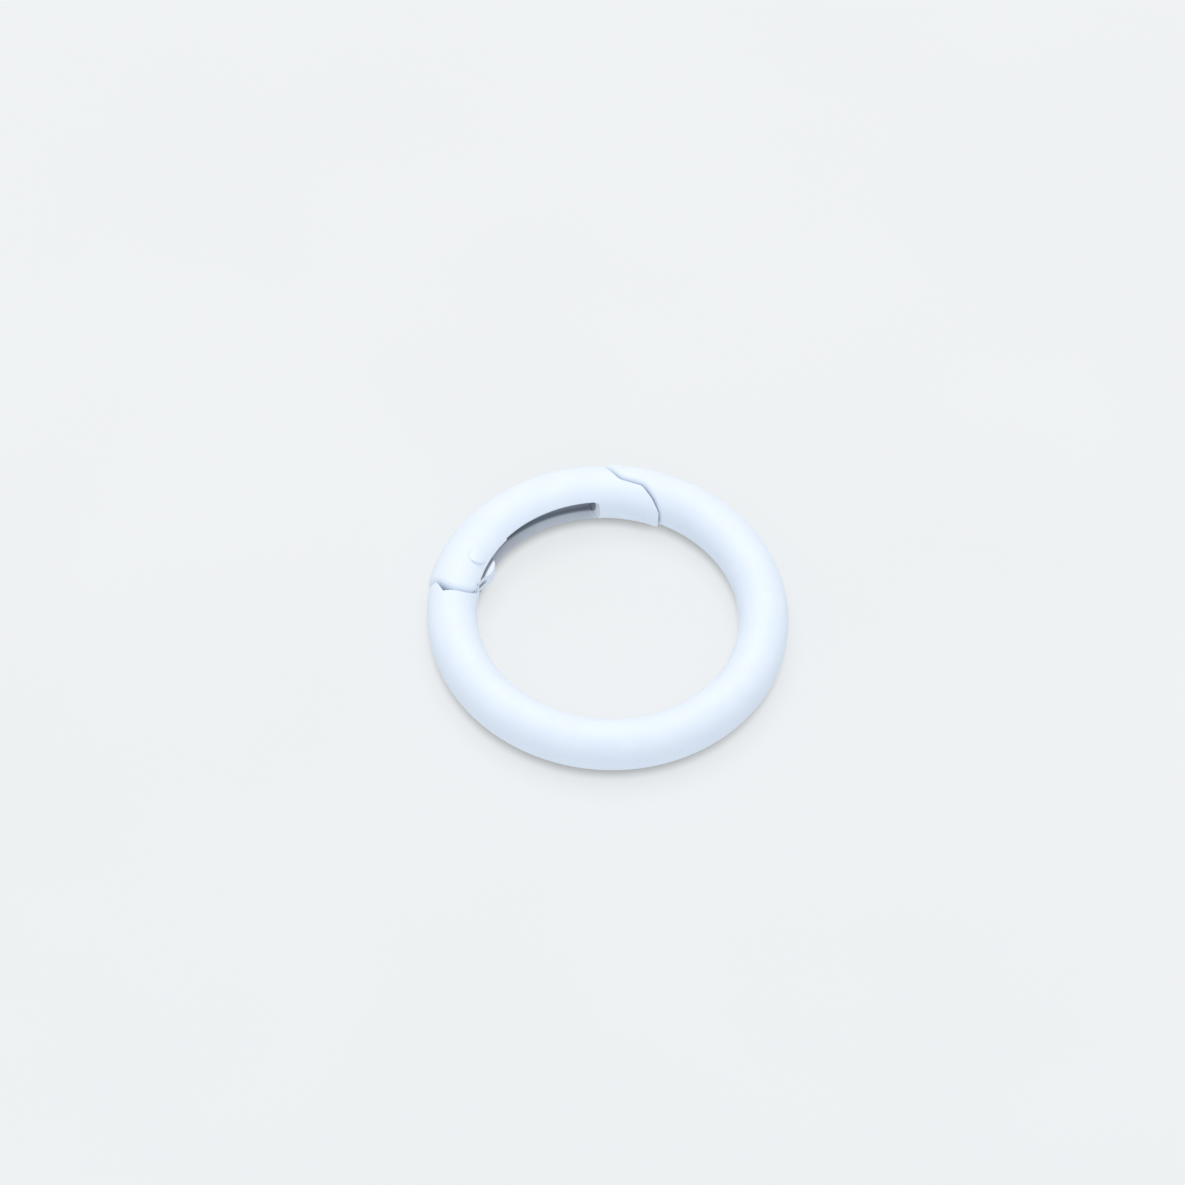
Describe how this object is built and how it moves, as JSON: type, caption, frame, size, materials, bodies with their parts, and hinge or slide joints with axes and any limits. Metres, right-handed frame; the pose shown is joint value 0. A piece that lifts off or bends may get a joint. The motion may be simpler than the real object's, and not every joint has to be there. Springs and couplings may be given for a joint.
{
  "type": "spring-gate ring",
  "caption": "White painted spring-gate ring of round section with an inward-opening gate on a rivet, for clipping straps, bags and keys.",
  "frame": {"origin": "centre of the ring, on its mid-plane", "axes": "+Z along the ring's axis; the gate fills the arc from the heel seam near -X to the latch seam near +Y"},
  "size_m": [0.0346, 0.0346, 0.0048],
  "materials": {
    "white_paint_body": "satin",
    "white_paint_gate": "satin",
    "painted_rivet": "satin",
    "bare_zinc": "satin",
    "spring_steel": "satin"
  },
  "bodies": {
    "ring": {"ring_body": "white_paint_body"},
    "gate": {"gate": "white_paint_gate", "hinge_pin": "painted_rivet", "gate_spring": "spring_steel"},
    "plunger": {"spring_plunger": "bare_zinc"}
  },
  "joints": [
    {"name": "gate_hinge", "type": "hinge", "parent": "ring", "child": "gate", "pos_m": [-0.01286, 0.00447, 0], "axis": [0, 0, -1], "range_deg": [0, 36], "stiffness_Nm_per_rad": 0.02, "springref_deg": -34.38},
    {"name": "plunger_slide", "type": "slide", "parent": "gate", "child": "plunger", "axis": [0.3907, 0.9205, 0], "range_m": [0, 0.00051], "deforming": ["gate_spring"]}
  ],
  "couplings": [
    {"joint": "plunger_slide", "follows": "gate_hinge", "m_per_rad": 0.0008}
  ]
}
